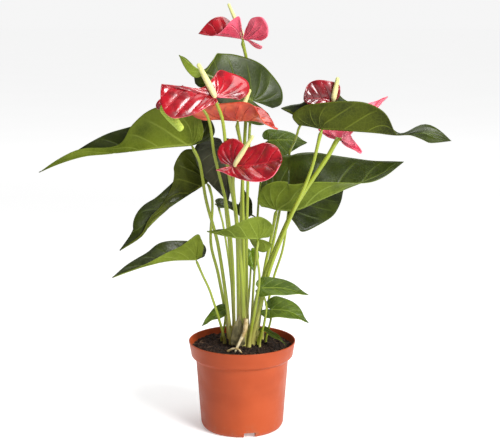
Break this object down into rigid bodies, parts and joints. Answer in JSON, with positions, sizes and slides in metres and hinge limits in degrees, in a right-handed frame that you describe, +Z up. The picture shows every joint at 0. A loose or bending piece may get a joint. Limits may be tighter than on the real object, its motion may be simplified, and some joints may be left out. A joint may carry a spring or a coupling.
{
  "type": "potted anthurium",
  "caption": "Anthurium in a plastic nursery pot, with long-stalked heart-shaped leaves, red heart-shaped spathes and pale upright spadices.",
  "frame": {"origin": "centre of the pot's base, at the level of the surface that it stands on", "axes": "+Z up, -Y towards the front of the plant, +X to the right as seen from the front"},
  "size_m": [0.4533, 0.1865, 0.4722],
  "materials": {
    "pot": "satin moulded plastic, terracotta orange",
    "soil": "loose damp peat compost",
    "leaf": "smooth leathery leaf, dark above and olive below",
    "stem": "smooth yellow-green stem",
    "spathe": "glossy waxy red",
    "orange_spathe": "glossy waxy orange-red",
    "spadix": "fine-grained cream to green",
    "green_spadix": "knobbly bright green",
    "sheath": "dry papery brown-olive"
  },
  "bodies": {
    "root": {"pot": "pot", "soil": "soil", "high_left_leaf": "leaf", "high_left_petiole": "stem", "high_back_leaf": "leaf", "high_back_petiole": "stem", "middle_left_leaf": "leaf", "middle_left_petiole": "stem", "low_left_leaf": "leaf", "low_left_petiole": "stem", "centre_left_leaf": "leaf", "centre_left_petiole": "stem", "round_back_leaf": "leaf", "round_back_petiole": "stem", "slim_middle_leaf": "leaf", "slim_middle_petiole": "stem", "front_leaf": "leaf", "front_petiole": "stem", "high_right_leaf": "leaf", "high_right_petiole": "stem", "middle_right_leaf": "leaf", "middle_right_petiole": "stem", "back_right_leaf": "leaf", "back_right_petiole": "stem", "bright_back_leaf": "leaf", "bright_back_petiole": "stem", "small_right_leaf": "leaf", "small_right_petiole": "stem", "low_right_leaf": "leaf", "low_right_petiole": "stem", "low_left_small_leaf": "leaf", "low_left_small_petiole": "stem", "soil_leaf": "leaf", "soil_petiole": "stem", "inner_leaf": "leaf", "inner_petiole": "stem", "top_spathe": "spathe", "top_flower_stalk": "stem", "top_spadix": "spadix", "large_spathe": "spathe", "large_flower_stalk": "stem", "large_spadix": "spadix", "orange_spathe": "orange_spathe", "orange_flower_stalk": "stem", "orange_spadix": "spadix", "front_spathe": "spathe", "front_flower_stalk": "stem", "front_spadix": "spadix", "right_spathe": "spathe", "right_flower_stalk": "stem", "right_spadix": "spadix", "under_leaf_spathe": "spathe", "under_leaf_flower_stalk": "stem", "under_leaf_spadix": "spadix", "old_spathe": "spathe", "old_flower_stalk": "stem", "old_spadix": "green_spadix", "crown_sheath": "sheath"}
  },
  "joints": []
}
